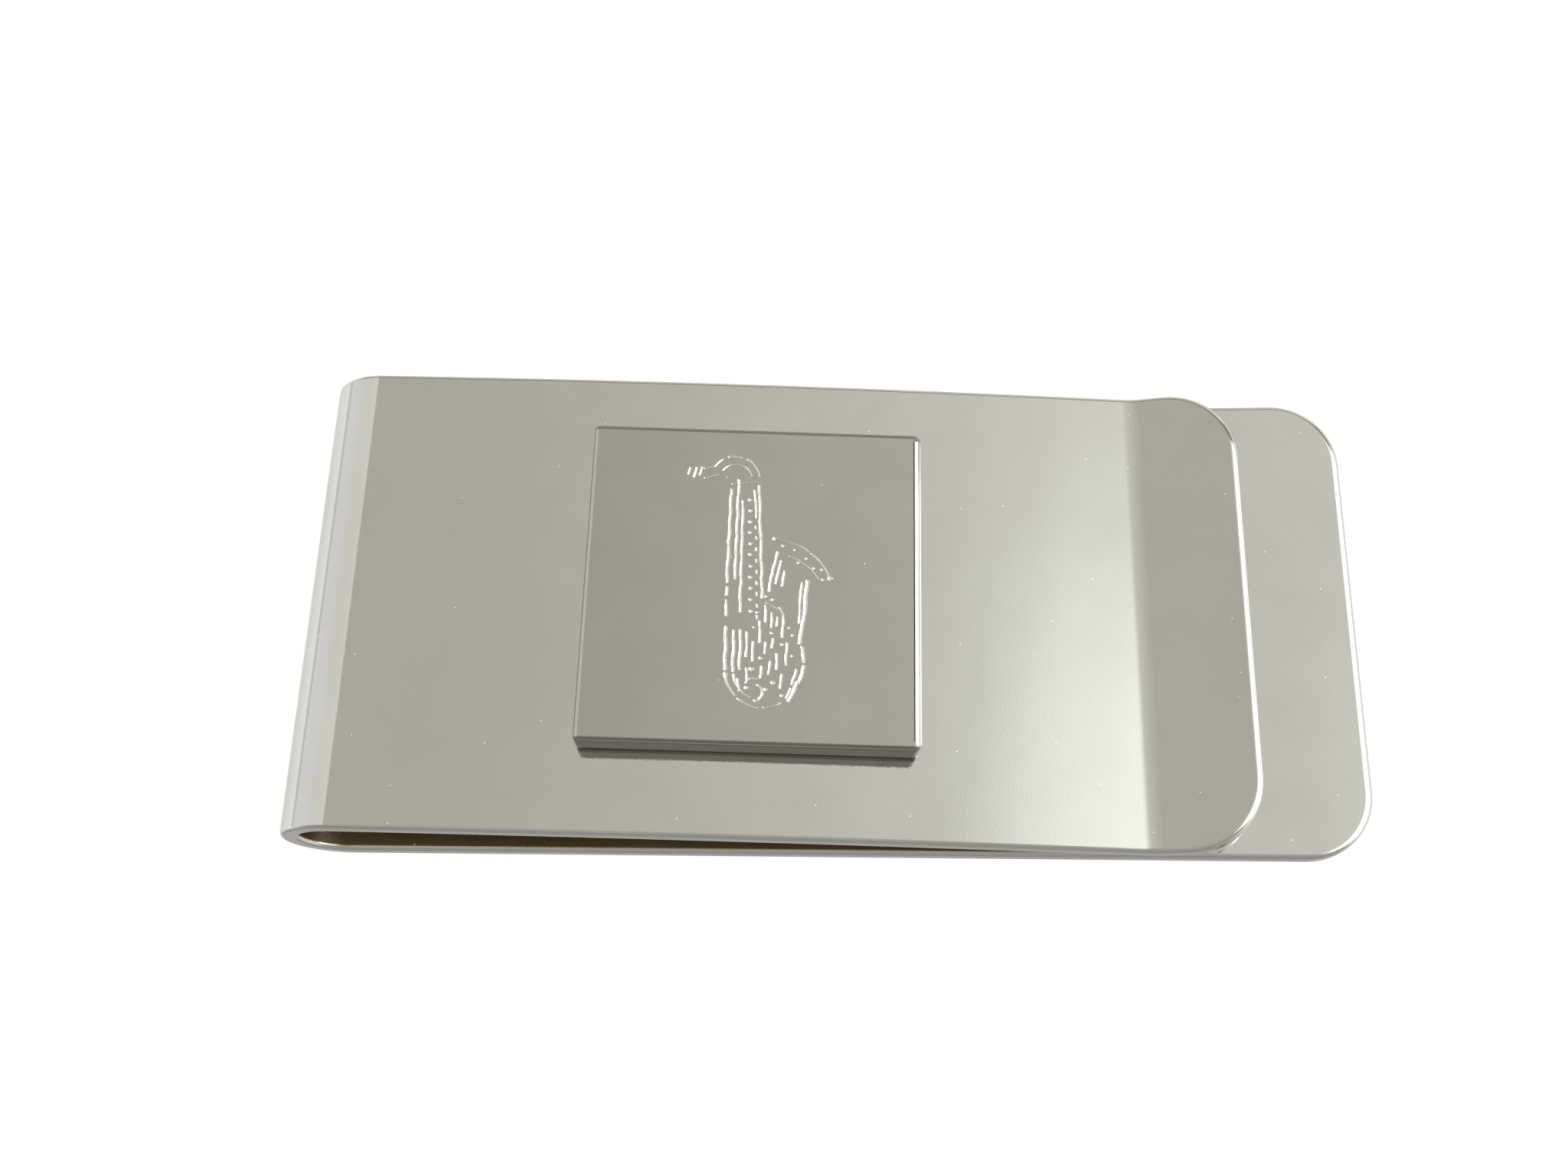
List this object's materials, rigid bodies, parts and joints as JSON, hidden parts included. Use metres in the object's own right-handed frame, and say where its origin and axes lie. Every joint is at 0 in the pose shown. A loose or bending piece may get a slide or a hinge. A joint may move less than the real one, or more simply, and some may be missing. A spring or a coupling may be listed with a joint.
{
  "type": "money clip",
  "caption": "Folded spring-metal money clip with a flared lip and an engraved square tile on its front leaf.",
  "frame": {"origin": "on the flat underside of the back leaf, under the middle of the clip's length and width", "axes": "+X along the clip from the fold to the tip of the back leaf, +Y across the strip, +Z out of the tile's face"},
  "size_m": [0.0556, 0.0254, 0.0069],
  "materials": {
    "strip_metal": "mirror-polished bright silver-coloured plating on spring metal",
    "tile_metal": "polished silver-coloured plating, engraved",
    "adhesive": "thin clear-to-milky bonding layer"
  },
  "bodies": {
    "back": {"back_leaf": "strip_metal", "spring_fold": "strip_metal"},
    "front": {"front_leaf": "strip_metal", "adhesive_pad": "adhesive", "engraved_tile": "tile_metal"}
  },
  "joints": [
    {"name": "leaf_opening", "type": "hinge", "parent": "back", "child": "front", "pos_m": [-0.0248, 0, 0.003], "axis": [0, -1, 0], "range_deg": [0, 8], "stiffness_Nm_per_rad": 0.4, "springref_deg": -6.88, "deforming": ["spring_fold"]}
  ]
}
